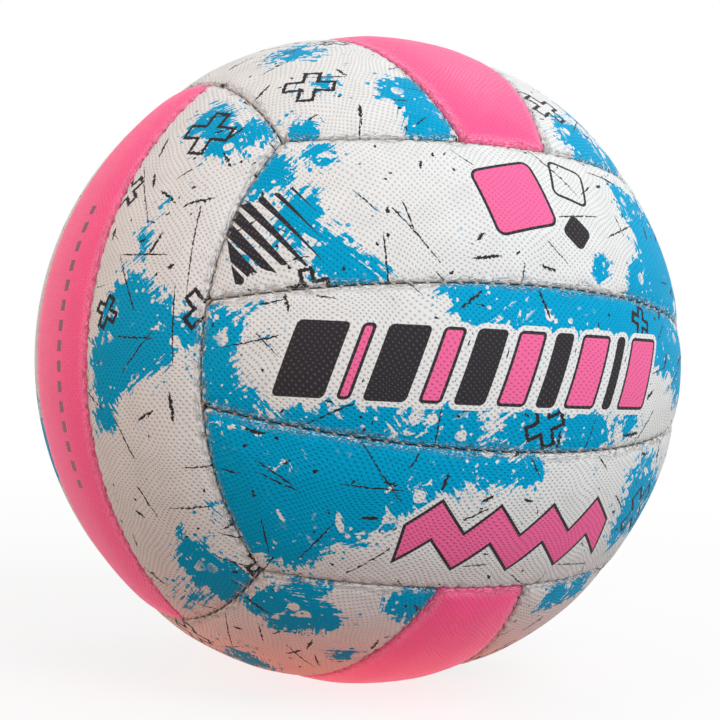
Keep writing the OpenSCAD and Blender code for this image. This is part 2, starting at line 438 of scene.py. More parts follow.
def seams_of(strip):
    """Seams round a strip: their axis, the angle from it, and the middle of the seam"""
    lean = (math.sin(EDGE_LEAN), math.cos(EDGE_LEAN))
    cut = (math.sin(STRIP_ANGLE), math.cos(STRIP_ANGLE))
    end = end_angle(0.0)
    edge = side_angles(2, 0.0)[1]
    found = [
        ((-way * lean[0], 0, lean[1]), EDGE_POLAR, (way * math.sin(end), 0, math.cos(end)))
        for way in (1, -1)
    ]
    strip_seams = [((0, way * cut[1], -cut[0]), math.pi / 2, (0, way * cut[0], cut[1])) for way in (-1, 1)]
    if strip == MIDDLE:
        return found + strip_seams[::-1]
    way = strip - 1
    return found + [
        strip_seams[strip // 2],
        ((0, -way * lean[1], lean[0]), math.pi - EDGE_POLAR, (0, way * math.sin(edge), math.cos(edge))),
    ]


def seam_places(strip, points):
    """For each seam of a strip, how far points lie from its flank and how far along it"""
    runs, gaps = [], []
    for axis, polar, middle in seams_of(strip):
        axis, middle = np.array(axis), np.array(middle)
        start = middle - axis * (middle @ axis)
        start /= np.linalg.norm(start)
        turn = np.arctan2(points @ np.cross(axis, start), points @ start)
        runs.append(turn * math.sin(polar) * BALL_R)
        off = np.abs(np.arccos(np.clip(points @ axis, -1, 1)) - polar) * BALL_R
        gaps.append(np.maximum(off - SEAM_GAP / 2, 0))
    return np.array(runs), np.array(gaps)


def eased(value, low, high):
    """0 up to low and 1 from high on, eased between"""
    share = np.clip((value - low) / (high - low), 0, 1)
    return share * share * (3 - 2 * share)


def radii(strip, points):
    """Distance of a strip's outer surface from the ball's centre, and each point's nearest seam"""
    runs, gaps = seam_places(strip, points)
    inset = CORNER_R - np.sqrt((np.clip(CORNER_R - gaps, 0, None) ** 2).sum(0))
    lean = LIP_R - np.clip(inset, 0, LIP_R)
    roll = LIP_R - np.sqrt(LIP_R**2 - lean**2)
    drop = roll + np.clip(-inset, 0, None) * CORNER_SLOPE
    nearest = gaps.argmin(0)
    run, gap = (np.take_along_axis(part, nearest[None], 0)[0] for part in (runs, gaps))
    sag = CROWN_DEPTH * (1 - eased(gap, 0, CROWN_RUN))
    sag += SHOULDER_DEPTH * np.clip(1 - gap / SHOULDER_RUN, 0, None) ** 2
    pull = (0.5 + 0.5 * np.cos(math.tau * run / STITCH_PITCH)) ** PUCKER_SHARPNESS
    tightness = 1 - PULL_SWING + PULL_SWING * np.sin(run * PULL_TURN + nearest * SEAM_TURN + strip)
    pucker = PUCKER_DEPTH * pull * tightness * np.exp(-((gap / PUCKER_REACH) ** 2))
    wander, swing = WRINKLE_WANDER
    waves = np.sin(run * WRINKLE_ALONG + np.sin(run * wander) * swing)
    waves = waves * np.sin(gap * WRINKLE_ACROSS + run * WRINKLE_SLANT)
    wrinkle = WRINKLE_DEPTH * waves * eased(gap, *WRINKLE_START) * (1 - eased(gap, *WRINKLE_END))
    return BALL_R - np.minimum(drop + sag + pucker + wrinkle, FLANGE_DEPTH - LEAST_FLANGE), run, gap


def paint_load(name, seed, along, across):
    """How much paint lies at places on a strip, from its splashes"""
    if name in SPLASHES:
        splashes = SPLASHES[name]
    else:
        chance = np.random.RandomState(CHANCE_SEED + seed)
        splashes = chance.uniform(CHANCE_LEAST, CHANCE_MOST, (CHANCE_COUNT, len(CHANCE_MOST)))
    load = np.zeros(len(along))
    for x, y, reach, strength in splashes:
        load += strength * np.exp(-((along - x) ** 2 + (across - y) ** 2) / reach**2)
    return np.minimum(load, MOST_PAINT)


def linked(name, data):
    """A new object of the scene that shows the data"""
    made = bpy.data.objects.new(name, data)
    bpy.context.scene.collection.objects.link(made)
    return made


def alone(piece):
    """Makes a piece the only one selected, and the active one"""
    bpy.ops.object.select_all(action="DESELECT")
    piece.select_set(True)
    bpy.context.view_layer.objects.active = piece


def coordinates(piece):
    """The places of a piece's points, one to a row"""
    found = np.empty(len(piece.data.vertices) * 3)
    piece.data.vertices.foreach_get("co", found)
    return found.reshape(-1, 3)


def give(piece, name, kind, field, values):
    """Stores values on a piece's points, for its material"""
    layer = piece.data.attributes.new(name, kind, "POINT")
    layer.data.foreach_set(field, np.asarray(values, np.float32).ravel())


def grid_over(strip, name):
    """A grid laid over a strip of the +Z face, out to its flanks"""
    across = shares(2 * STRIP_ANGLE * BALL_R, CELL_ACROSS)
    along = 2 * shares(2 * end_angle(0.0) * BALL_R, CELL_ALONG) - 1
    bpy.ops.object.select_all(action="DESELECT")
    bpy.ops.mesh.primitive_grid_add(x_subdivisions=len(along) - 1, y_subdivisions=len(across) - 1, size=1)
    piece = bpy.context.object
    piece.name = piece.data.name = name
    flat = coordinates(piece) + 0.5
    column = np.rint(flat[:, 0] * (len(along) - 1)).astype(int)
    row = np.rint(flat[:, 1] * (len(across) - 1)).astype(int)
    points = directions(strip, along[column], across[row])
    radius = radii(strip, points)[0]
    piece.data.vertices.foreach_set("co", (points * radius[:, None] * MM).ravel())
    return piece


def select_border():
    """Selects the open border of the mesh that is being edited"""
    bpy.ops.mesh.select_all(action="DESELECT")
    bpy.ops.mesh.select_non_manifold(extend=False, use_wire=False, use_boundary=True, use_multi_face=False,
                                     use_non_contiguous=False, use_verts=False)


def selected(piece):
    """Which of a piece's points are selected"""
    return np.array([vertex.select for vertex in piece.data.vertices])


def turn_edges_in(piece):
    """The sewing edge: the panel's border drawn straight in towards the ball's centre"""
    alone(piece)
    bpy.ops.object.mode_set(mode="EDIT")
    bpy.ops.mesh.select_mode(type="EDGE")
    select_border()
    bpy.ops.mesh.extrude_edges_move()
    bpy.ops.object.mode_set(mode="OBJECT")
    places = coordinates(piece)
    drawn = selected(piece)
    places[drawn] *= (BALL_R - FLANGE_DEPTH) * MM / np.linalg.norm(places[drawn], axis=1, keepdims=True)
    piece.data.vertices.foreach_set("co", places.ravel())


def cut_valve_hole(piece):
    """A round hole at the middle of the panel, its border drawn onto the hole's edge"""
    places = coordinates(piece)
    off = np.hypot(places[:, 0], places[:, 1])
    alone(piece)
    bpy.ops.object.mode_set(mode="EDIT")
    bpy.ops.mesh.select_mode(type="VERT")
    bpy.ops.mesh.select_all(action="DESELECT")
    bpy.ops.object.mode_set(mode="OBJECT")
    piece.data.vertices.foreach_set("select", off < (VALVE_HOLE_R + HOLE_MARGIN) * MM)
    bpy.ops.object.mode_set(mode="EDIT")
    bpy.ops.mesh.delete(type="VERT")
    select_border()
    bpy.ops.object.mode_set(mode="OBJECT")
    places = coordinates(piece)
    off = np.hypot(places[:, 0], places[:, 1])
    rim = selected(piece) & (off < HOLE_SEARCH_R * MM)
    places[rim, :2] *= VALVE_HOLE_R * MM / off[rim, None]
    piece.data.vertices.foreach_set("co", places.ravel())


def strip_coordinates(strip, points):
    """Places in millimetres along and across the great circle through a strip's middle"""
    tilt = (strip - 1) * SIDE_MIDDLE
    y = points[:, 1] * math.cos(tilt) - points[:, 2] * math.sin(tilt)
    z = points[:, 1] * math.sin(tilt) + points[:, 2] * math.cos(tilt)
    return np.arctan2(points[:, 0], z) * BALL_R, np.arcsin(y) * BALL_R


def cover_panel(face, strip, seed, material):
    """One stitched panel of the cover, on its CAD panel's place"""
    node = f"{face}_panel_{FACES[face][1][strip]}"
    piece = grid_over(strip, node + "_skin")
    turn_edges_in(piece)
    if node == VALVE_PANEL:
        cut_valve_hole(piece)
    places = coordinates(piece)
    points = places / np.linalg.norm(places, axis=1, keepdims=True)
    along, across = strip_coordinates(strip, points)
    run, gap = radii(strip, points)[1:]
    own = np.full(len(along), seed * STRIP_SHIFT)
    give(piece, "strip_place", "FLOAT_VECTOR", "vector", np.stack([along, across, own], 1))
    give(piece, "seam_place", "FLOAT_VECTOR", "vector", np.stack([run, gap, own], 1))
    give(piece, "paint_load", "FLOAT", "value", paint_load(node, seed, along, across))
    piece.data.materials.append(material)
    alone(piece)
    wall = piece.modifiers.new("Wall", "SOLIDIFY")
    wall.thickness = COVER_T * MM
    wall.offset = -1
    bpy.ops.object.modifier_apply(modifier=wall.name)
    piece.data.transform(face_turn(face).to_4x4())
    bpy.ops.object.shade_smooth()
    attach(piece, "root")
    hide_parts(node)


def stitch_path(axis, polar, middle, half):
    """Points of the thread along one seam, which crosses the groove at each stitch"""
    axis, middle = Vector(axis), Vector(middle)
    start = (middle - axis * middle.dot(axis)).normalized()
    side = axis.cross(start)
    count = round(2 * half * math.sin(polar) * BALL_R / STITCH_PITCH * POINTS_PER_STITCH)
    found = []
    for index in range(count + 1):
        turn = half * (2 * index / count - 1)
        phase = turn * math.sin(polar) * BALL_R / STITCH_PITCH * math.tau
        lift = (0.5 + 0.5 * math.cos(phase)) ** 2
        angle = polar + THREAD_SWAY * math.sin(phase) / BALL_R
        depth = THREAD_SINK + (STITCH_RISE - THREAD_SINK) * lift
        out = start * math.cos(turn) + side * math.sin(turn)
        found.append((out * math.sin(angle) + axis * math.cos(angle)) * (BALL_R - depth) * MM)
    return found


def seam_stitches(face, material):
    """The stitches of a face's two strip seams and of the seams along its two long sides"""
    curve = bpy.data.curves.new(f"{face}_stitches", "CURVE")
    curve.dimensions = "3D"
    curve.bevel_depth = THREAD_R * MM
    curve.bevel_resolution = THREAD_FACETS
    curve.use_fill_caps = True
    edge_half = math.asin(1 / math.sqrt(3) / math.sin(EDGE_POLAR))
    strip_half = end_angle(STRIP_ANGLE)
    for strip in (0, 2):
        cut, edge = seams_of(strip)[2:]
        for seam, half in ((cut, strip_half), (edge, edge_half)):
            path = stitch_path(*seam, half * STITCHED_SHARE)
            spline = curve.splines.new("POLY")
            spline.points.add(len(path) - 1)
            for point, place in zip(spline.points, path):
                point.co = (*place, 1)
    alone(linked(f"{face}_stitches", curve))
    bpy.ops.object.convert(target="MESH")
    piece = bpy.context.object
    piece.data.transform(face_turn(face).to_4x4())
    piece.data.materials.clear()
    piece.data.materials.append(material)
    bpy.ops.object.shade_smooth()
    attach(piece, "root")
    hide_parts(f"{face}_seam_thread")


# Materials


class Graph:
    """Lays nodes in one tree. An input is a socket to link, or a plain value."""

    def __init__(self, tree):
        self.tree = tree

    def feed(self, socket, value):
        if isinstance(value, bpy.types.NodeSocket):
            self.tree.links.new(value, socket)
        else:
            socket.default_value = value

    def node(self, kind, settings=None, **inputs):
        made = self.tree.nodes.new(kind)
        for name, value in (settings or {}).items():
            setattr(made, name, value)
        for name, value in inputs.items():
            self.feed(made.inputs[name.replace("_", " ")], value)
        return made

    def maths(self, operation, *values):
        made = self.tree.nodes.new("ShaderNodeMath")
        made.operation = operation
        for socket, value in zip(made.inputs, values):
            self.feed(socket, value)
        return made.outputs[0]

    def times(self, first, *others):
        for other in others:
            first = self.maths("MULTIPLY", first, other)
        return first

    def less(self, first, second):
        return self.maths("SUBTRACT", first, second)

    def size(self, value):
        return self.maths("ABSOLUTE", value)

    def vector(self, operation, *values):
        made = self.tree.nodes.new("ShaderNodeVectorMath")
        made.operation = operation
        sockets = (made.inputs[0], made.inputs["Scale"]) if operation == "SCALE" else made.inputs
        for socket, value in zip(sockets, values):
            self.feed(socket, value)
        return made.outputs["Value" if operation == "LENGTH" else "Vector"]

    def split(self, vector):
        return self.node("ShaderNodeSeparateXYZ", Vector=vector).outputs

    def join(self, x, y, z=0.0):
        return self.node("ShaderNodeCombineXYZ", X=x, Y=y, Z=z).outputs[0]

    def flat(self, vector):
        return self.vector("MULTIPLY", vector, (1.0, 1.0, 0.0))

    def turned(self, vector, angle):
        turn = {"rotation_type": "Z_AXIS"}
        return self.node("ShaderNodeVectorRotate", turn, Vector=vector, Angle=angle).outputs[0]

    def step(self, value, low, high):
        """0 at low and 1 at high, eased between, whichever is the larger"""
        ease = {"interpolation_type": "SMOOTHSTEP"}
        return self.node("ShaderNodeMapRange", ease, Value=value, From_Min=low, From_Max=high).outputs[0]

    def inside(self, off):
        """1 where a distance from an outline is below zero"""
        return self.step(off, EDGE, -EDGE)

    def noise(self, place, scale, detail=2.0, roughness=0.5):
        return self.node("ShaderNodeTexNoise", Vector=place, Scale=scale, Detail=detail,
                         Roughness=roughness).outputs[0]

    def drift(self, place, scale, reach):
        """A place moved about by up to half its reach, smoothly"""
        colour = self.node("ShaderNodeTexNoise", Vector=place, Scale=scale, Detail=1.0).outputs["Color"]
        moved = self.vector("SUBTRACT", colour, (0.5, 0.5, 0.5))
        return self.vector("ADD", place, self.vector("SCALE", moved, reach))

    def cells(self, place, size, spread=1.0):
        """Scattered points, one to a cell: the offset from the nearest, and its three chances"""
        made = self.node("ShaderNodeTexVoronoi", {"voronoi_dimensions": "2D"}, Vector=place,
                         Scale=self.maths("DIVIDE", 1.0, size), Randomness=spread)
        return self.vector("SUBTRACT", place, made.outputs["Position"]), self.split(made.outputs["Color"])

    def own_place(self, place):
        """A place shifted by its strip's own number, so that no two strips hold the same scatter"""
        number = self.split(place)[2]
        shift = self.join(*(self.times(number, share) for share in SCATTER_SHIFT))
        return self.vector("ADD", self.flat(place), shift)

    def mix(self, share, first, second):
        made = self.tree.nodes.new("ShaderNodeMix")
        made.data_type = "RGBA"
        for index, value in zip((0, 6, 7), (share, first, second)):
            self.feed(made.inputs[index], value)
        return made.outputs[2]

    def most(self, *values):
        found = values[0]
        for value in values[1:]:
            found = self.maths("MAXIMUM", found, value)
        return found

    def least(self, first, second):
        return self.maths("MINIMUM", first, second)

    def rounded(self, off_x, off_y, corner):
        """Distance outside a rectangle with round corners, from the distances past its sides"""
        x, y = self.maths("ADD", off_x, corner), self.maths("ADD", off_y, corner)
        beyond = self.vector("LENGTH", self.join(self.most(x, 0.0), self.most(y, 0.0)))
        return self.less(self.maths("ADD", beyond, self.least(self.most(x, y), 0.0)), corner)

    def use(self, group, **inputs):
        made = self.tree.nodes.new("ShaderNodeGroup")
        made.node_tree = group
        for name, value in inputs.items():
            self.feed(made.inputs[name], value)
        return made.outputs


KINDS = {"value": "NodeSocketFloat", "vector": "NodeSocketVector"}


def effect(name, inputs, outputs, lay):
    """A shader node group: lay gets the graph and the inputs, and returns the outputs"""
    tree = bpy.data.node_groups.new(name, "ShaderNodeTree")
    for side, sockets in (("INPUT", inputs), ("OUTPUT", outputs)):
        for label, kind in sockets.items():
            tree.interface.new_socket(label, in_out=side, socket_type=KINDS[kind])
    source, target = tree.nodes.new("NodeGroupInput"), tree.nodes.new("NodeGroupOutput")
    graph = Graph(tree)
    results = lay(graph, *[source.outputs[label] for label in inputs])
    for label, result in zip(outputs, results):
        graph.feed(target.inputs[label], result)
    return tree


def lay_pips(g, place, pitch):
    """Round pips in staggered rows that wander, each row half a pitch from the last"""
    scale, reach = PIP_WANDER
    moved = g.drift(place, scale, g.times(pitch, reach))
    cell = g.join(pitch, g.times(pitch, PIP_ROW_SHARE), 1.0)
    even = g.vector("DIVIDE", moved, cell)
    found = []
    for shift in (0.0, 0.5):
        spot = g.vector("FRACTION", g.vector("ADD", even, (shift, shift, 0.0)))
        off = g.vector("MULTIPLY", g.vector("SUBTRACT", spot, (0.5, 0.5, 0.5)), cell)
        found.append(g.vector("LENGTH", g.flat(off)))
    return [g.step(g.least(*found), g.times(pitch, PIP_REACH_SHARE), 0.0)]


def drops(g, place, size, share, largest):
    """Round drops of many sizes: 1 inside them"""
    off, chance = g.cells(g.drift(place, *DROP_WOBBLE), size)
    radius = g.times(g.less(chance[0], 1 - share), largest / share)
    return g.step(g.less(radius, g.vector("LENGTH", g.flat(off))), -EDGE, EDGE)


def lay_splash(g, place, load):
    """Thrown paint: solid where much lies, fingered and feathered at its edges, with drops on both sides"""
    flowed = g.drift(g.drift(place, *FLOW_DRIFT), *FRINGE_DRIFT)
    broad = g.noise(flowed, BROAD_SCALE)
    crumble = g.maths("MULTIPLY_ADD", g.noise(place, CRUMBLE_SCALE, detail=0.0), *CRUMB_ROUGHNESS)
    crumbs = g.noise(flowed, CRUMB_SCALE, detail=5.0, roughness=crumble)
    thrown, dripped = (
        g.noise(g.vector("MULTIPLY", g.turned(place, turn), scales), 1.0, 3.0, STREAK_ROUGHNESS)
        for turn, scales in STREAKS
    )
    way = g.step(g.noise(place, STREAK_PATCH_SCALE, detail=0.0), *STREAK_LEVELS)
    feather = g.maths("ADD", g.times(thrown, way), g.times(dripped, g.less(1.0, way)))
    field = load
    for part, reach in ((broad, BROAD_SHARE), (crumbs, CRUMB_SHARE), (feather, STREAK_SHARE)):
        field = g.maths("ADD", field, g.maths("MULTIPLY_ADD", part, reach, -reach / 2))
    body = g.step(field, *PAINT_LEVELS)
    veins = g.noise(g.vector("ADD", flowed, MARBLE_SHIFT), MARBLE_SCALE, detail=4.0, roughness=0.6)
    patches = g.step(g.noise(place, PATCH_SCALE, detail=0.0), *PATCH_LEVELS)
    bare = g.times(g.step(veins, *MARBLE_LEVELS), patches)
    soft = g.maths("ADD", load, g.maths("MULTIPLY_ADD", broad, SOFT_SHARE, -SOFT_SHARE / 2))
    rim = g.times(*(g.step(soft, *levels) for levels in RIM_LEVELS))
    for shift, sizes in BARE_DROPS.items():
        bare = g.most(bare, g.times(drops(g, g.vector("ADD", place, shift), *sizes), rim))
    kept = g.times(body, g.less(1.0, bare))
    near = g.step(soft, *NEAR_LEVELS)
    return [g.most(kept, g.times(drops(g, place, *BLUE_DROPS), near))]


def lay_strokes(g, place, spacing, length, width, share):
    """Scattered thin strokes, each turned its own way, with knots, gaps and tapering ends"""
    off, chance = g.cells(g.drift(g.own_place(place), *STROKE_WOBBLE), spacing, STROKE_SPREAD)
    x, y, _ = g.split(g.turned(off, g.times(chance[0], math.tau)))
    along = g.maths("DIVIDE", g.size(x), g.times(length, g.maths("ADD", chance[1], LEAST_STROKE)))
    knots = g.maths("MULTIPLY_ADD", g.noise(place, KNOT_SCALE, roughness=RAGGEDNESS), *KNOT_WIDTHS)
    over = g.maths("DIVIDE", g.size(y), g.most(g.times(width, knots), LEAST_WIDTH))
    mark = g.step(g.maths("ADD", g.maths("POWER", along, STROKE_TAPER), over), *STROKE_END)
    crowd = g.step(g.noise(place, CROWD_SCALE, detail=1.0), *CROWD_LEVELS)
    return [g.times(mark, g.maths("LESS_THAN", chance[2], g.times(share, crowd)))]


def lay_crosses(g, place):
    """Scattered outlined crosses, each of its own size and turn"""
    off, chance = g.cells(g.own_place(g.vector("ADD", place, CROSS_SHIFT)), CROSS_SPACING, CROSS_SPREAD)
    x, y, _ = g.split(g.vector("ABSOLUTE", g.turned(off, g.times(chance[0], math.tau))))
    arm = g.maths("MULTIPLY_ADD", chance[1], CROSS_REACH / 2, CROSS_REACH / 2)
    half = g.times(arm, CROSS_ARM)
    upright = g.most(g.less(x, half), g.less(y, arm))
    level = g.most(g.less(x, arm), g.less(y, half))
    ragged = g.noise(place, CROSS_LINE_SCALE, roughness=RAGGEDNESS)
    width = g.maths("MULTIPLY_ADD", ragged, CROSS_LINE_SWING, CROSS_LINE - CROSS_LINE_SWING / 2)
    line = g.inside(g.less(g.size(g.least(upright, level)), width))
    return [g.times(line, g.maths("LESS_THAN", chance[2], CROSS_SHARE))]


def lay_seam_wear_and_sheen(g, seam):
    """By the seams: creases that arch over each stitch, cracked ink, dirt in the groove and painted sheen"""
    run, gap, seed = g.split(seam)
    arch = g.times(g.maths("COSINE", g.times(run, math.tau / STITCH_PITCH)), g.step(gap, ARCH_RUN, 0.0))
    bowed = g.less(gap, g.times(arch, ARCH_RISE))

    def drawn_out(inward, scales, detail, roughness=0.5):
        """Noise with a scale along the seam and another away from it"""
        spot = g.join(g.times(run, scales[0]), g.times(inward, scales[1]), seed)
        return g.noise(spot, 1.0, detail, roughness)

    fine = drawn_out(bowed, CRACK_SCALES, 3.0, 0.65)
    ridges = g.size(g.less(drawn_out(bowed, CREASE_SCALES, 3.0, 0.6), 0.5))
    reach = g.maths("MULTIPLY_ADD", drawn_out(gap, WEAR_SCALES, 1.0), *WEAR_REACH)
    height = g.maths("ADD", g.step(ridges, *RIDGE_LEVELS), g.times(fine, CRACK_HEIGHT))
    height = g.times(height, g.step(gap, reach, WEAR_START))
    worn = g.times(g.step(fine, *CRACK_LEVELS), g.step(gap, g.times(reach, WEAR_REACH_SHARE), WEAR_START))
    groove = g.step(gap, GROOVE_REACH, 0.0)
    lines = g.times(g.step(ridges, *LINE_LEVELS), g.step(gap, g.most(reach, LINE_REACH), LINE_START))
    dirt = g.most(g.times(groove, GROOVE_DIRT), g.times(lines, LINE_DIRT))
    # Painted sheen: a paler band near the seams, as if their rolled shoulders caught the light
    painted_sheen = g.times(g.step(gap, *SHEEN_REACH), g.step(fine, *SHEEN_LEVELS))
    return [height, worn, dirt, painted_sheen]


def lay_blocks(g, place):
    """A row of slanted blocks: black ones that narrow and, between them, pink ones that widen"""
    x, y, _ = g.split(place)
    slanted = g.maths("MULTIPLY_ADD", y, BLOCK_SLANT, g.less(x, BLOCK_MIDDLE))
    local = g.maths("WRAP", slanted, BLOCK_PITCH / 2, -BLOCK_PITCH / 2)
    centre = g.less(slanted, local)
    held = g.maths("LESS_THAN", g.size(centre), BLOCK_SPAN / 2)
    turn = g.times(centre, BLOCK_FADE * (BLOCK_PITCH / 2 - BLOCK_GAP) / (BLOCK_SPAN / 2))
    above = g.less(g.size(y), BLOCK_HEIGHT / 2)
    side = (BLOCK_PITCH - BLOCK_GAP) / 2
    half_gap = BLOCK_GAP / 2
    black_side = g.most(g.less(-side, local), g.less(g.maths("ADD", local, turn), -half_gap))
    pink_side = g.most(g.less(half_gap, g.maths("ADD", local, turn)), g.less(local, side))
    black = g.rounded(black_side, above, BLOCK_CORNER)
    pink = g.rounded(pink_side, above, BLOCK_CORNER)
    pale = g.inside(g.less(g.least(black, pink), PALE_BORDER))
    dark = g.inside(g.least(black, pink))
    return [g.times(pale, held), g.times(dark, held), g.times(g.inside(g.maths("ADD", pink, OUTLINE)), held)]


def tile(g, place, middle, half, turn):
    """Distance outside a square tile with round corners"""
    x, y, _ = g.split(g.vector("ABSOLUTE", g.turned(g.vector("SUBTRACT", place, middle), turn)))
    return g.rounded(g.less(x, half), g.less(y, half), TILE_CORNER)


def lay_tiles(g, place):
    """Three scattered tiles, pink, black and open, and a patch of slanted strokes that thin out"""
    pink, black, open_tile = (tile(g, place, *TILES[name]) for name in ("pink", "black", "open"))
    ring = g.less(g.size(open_tile), OUTLINE / 2)
    x, y, _ = g.split(g.vector("SUBTRACT", place, HATCH_MIDDLE))
    slanted = g.maths("MULTIPLY_ADD", y, HATCH_SLANT, x)
    stroke = g.size(g.maths("WRAP", slanted, HATCH_PITCH / 2, -HATCH_PITCH / 2))
    thin = g.maths("MULTIPLY_ADD", x, -HATCH_WIDTH / 2 / HATCH_SPAN, HATCH_WIDTH / 4)
    frayed = g.noise(place, HATCH_FRAY_SCALE, detail=1.0)
    ends = g.maths("MULTIPLY_ADD", frayed, HATCH_FRAY, (HATCH_HEIGHT - HATCH_FRAY) / 2)
    hatch = g.most(g.less(stroke, thin), g.less(g.size(y), ends), g.less(g.size(x), HATCH_SPAN / 2))
    pale = g.inside(g.less(pink, PALE_BORDER + OUTLINE))
    dark = g.least(g.least(g.less(pink, OUTLINE), black), g.least(ring, hatch))
    return [pale, g.inside(dark), g.inside(pink)]


def lay_zigzag(g, place):
    """A pink zigzag band with a dark outline"""
    x, y, _ = g.split(g.vector("SUBTRACT", place, ZIGZAG_MIDDLE))
    tooth = g.size(g.maths("WRAP", x, ZIGZAG_PITCH / 2, -ZIGZAG_PITCH / 2))
    slope = 4 * ZIGZAG_RISE / ZIGZAG_PITCH
    line = g.maths("MULTIPLY_ADD", tooth, slope, -ZIGZAG_RISE)
    off = g.maths("MULTIPLY_ADD", g.size(g.less(y, line)), 1 / math.hypot(1, slope), -ZIGZAG_BAND / 2)
    off = g.most(off, g.less(g.size(x), ZIGZAG_SPAN / 2))
    return [g.inside(g.less(off, OUTLINE + PALE_BORDER)), g.inside(g.less(off, OUTLINE)), g.inside(off)]


def lay_dashes(g, place):
    """A row of dark dashes beside the strip's middle"""
    x, y, _ = g.split(place)
    along = g.less(g.size(g.maths("WRAP", x, DASH_PITCH / 2, -DASH_PITCH / 2)), DASH_LENGTH / 2)
    over = g.less(g.size(g.less(y, DASH_PLACE)), DASH_WIDTH / 2)
    off = g.most(along, over, g.less(g.size(x), DASH_SPAN / 2))
    return [0.0, g.inside(off), 0.0]


PLACE = {"Place": "vector"}
PRINT = {"Pale": "value", "Dark": "value", "Pink": "value"}
INK = {"Ink": "value"}
pips = effect("Pips", {**PLACE, "Pitch": "value"}, {"Height": "value"}, lay_pips)
splash = effect("Paint splash", {**PLACE, "Load": "value"}, {"Paint": "value"}, lay_splash)
STROKE = {"Spacing": "value", "Length": "value", "Width": "value", "Share": "value"}
strokes = effect("Strokes", {**PLACE, **STROKE}, INK, lay_strokes)
crosses = effect("Crosses", PLACE, INK, lay_crosses)
WEAR_AND_SHEEN = {"Height": "value", "Worn": "value", "Dirt": "value", "Painted sheen": "value"}
seam_wear_and_sheen = effect("Seam wear and sheen", {"Seam": "vector"}, WEAR_AND_SHEEN, lay_seam_wear_and_sheen)


def principled(name):
    """A new material, its graph and its Principled shader"""
    material = bpy.data.materials.new(name)
    material.use_nodes = True
    return material, Graph(material.node_tree), material.node_tree.nodes["Principled BSDF"]


def attribute(g, name, output="Vector"):
    """A value stored on the piece's points"""
    return g.node("ShaderNodeAttribute", {"attribute_name": name}).outputs[output]


def eased_pip_shade(g, pip, ink):
    """An ink's colour, lighter on the pips, which takes back part of the painted shade that later darkens
    every pip
    """
    return g.vector("SCALE", ink, g.maths("MULTIPLY_ADD", pip, PIP_SHADE_EASE, 1.0))


def splashed(g, place, pip, colour):
    """Blue paint and black strokes over a skin's colour"""
    paint = g.use(splash, Place=place, Load=attribute(g, "paint_load", "Fac"))["Paint"]
    mottle = g.noise(place, BLUE_MOTTLE_SCALE, detail=3.0)
    shade = g.mix(mottle, tint(BLUE_INK), tint([c * BLUE_SHADE for c in BLUE_INK]))
    # The blue is lighter on the pips, taking back part of their painted shade
    colour = g.mix(paint, colour, eased_pip_shade(g, pip, shade))
    ink = g.use(crosses, Place=place)["Ink"]
    for index, (spacing, length, width, share) in enumerate(STROKES.values()):
        moved = g.vector("ADD", place, (*(index * shift for shift in STROKE_SHIFT), 0.0))
        ink = g.most(ink, g.use(strokes, Place=moved, Spacing=spacing, Length=length, Width=width,
                                Share=share)["Ink"])
    return g.mix(ink, colour, tint(BLACK_INK))


def skin(name, base, pitch, lay_print=None, painted=True, finish=PRINT_FINISH, glow=0.0, painted_sheen=None):
    """Pimpled synthetic skin with its print, worn along the seams"""
    material, g, shader = principled(name)
    place = attribute(g, "strip_place")
    seam = attribute(g, "seam_place")
    pip = g.times(g.use(pips, Place=place, Pitch=pitch)["Height"], g.step(g.split(seam)[1], *PIP_FADE))
    wear = g.use(seam_wear_and_sheen, Seam=seam)
    mottle = g.step(g.noise(place, MOTTLE_SCALE, detail=3.0), *MOTTLE_LEVELS)
    colour = g.mix(mottle, tint(base), tint([c * SKIN_SHADE for c in base]))
    if painted:
        colour = splashed(g, place, pip, colour)
    if lay_print:
        printed = g.use(effect(name + " print", PLACE, PRINT, lay_print), Place=place)
        # Painted highlight: black ink is lighter on its pips
        black = g.mix(pip, tint(BLACK_INK), tint(BLACK_PIP_HIGHLIGHT))
        # Pink ink is lighter on the pips, taking back part of their painted shade
        pink = eased_pip_shade(g, pip, tint(PINK_INK)[:3])
        for mask, ink in (("Pale", tint(WHITE_SKIN)), ("Dark", black), ("Pink", pink)):
            colour = g.mix(printed[mask], colour, ink)
    # Painted sheen: the pink skins turn paler along the seams
    if painted_sheen:
        colour = g.mix(wear["Painted sheen"], colour, tint(painted_sheen))
    worn = tint([(a + b) / 2 for a, b in zip(base, WORN_SKIN)])
    colour = g.mix(g.times(wear["Worn"], WORN_SHARE), colour, worn)
    colour = g.mix(wear["Dirt"], colour, tint(CREASE_DIRT))
    # Painted shade: every pip's colour is darkened
    colour = g.vector("SCALE", colour, g.maths("MULTIPLY_ADD", pip, -PIP_PAINTED_SHADE, 1.0))
    height = g.maths("MULTIPLY_ADD", wear["Height"], CREASE_HEIGHT, g.times(pip, PIP_HEIGHT))
    height = g.maths("MULTIPLY_ADD", g.noise(place, GRAIN_SCALE, detail=3.0), GRAIN_HEIGHT, height)
    bump = g.node("ShaderNodeBump", Height=height, Strength=1.0, Distance=MM)
    g.feed(shader.inputs["Normal"], bump.outputs[0])
    g.feed(shader.inputs["Base Color"], colour)
    gloss, roughness = finish
    rough = g.maths("MULTIPLY_ADD", g.noise(place, ROUGHNESS_SCALE), ROUGHNESS_SWING, roughness)
    g.feed(shader.inputs["Roughness"], rough)
    shader.inputs["Specular IOR Level"].default_value = gloss
    # Painted glow: the skin gives off light of its own colour
    if glow:
        shader.inputs["Emission Color"].default_value = tint(base)
        shader.inputs["Emission Strength"].default_value = glow
    return material


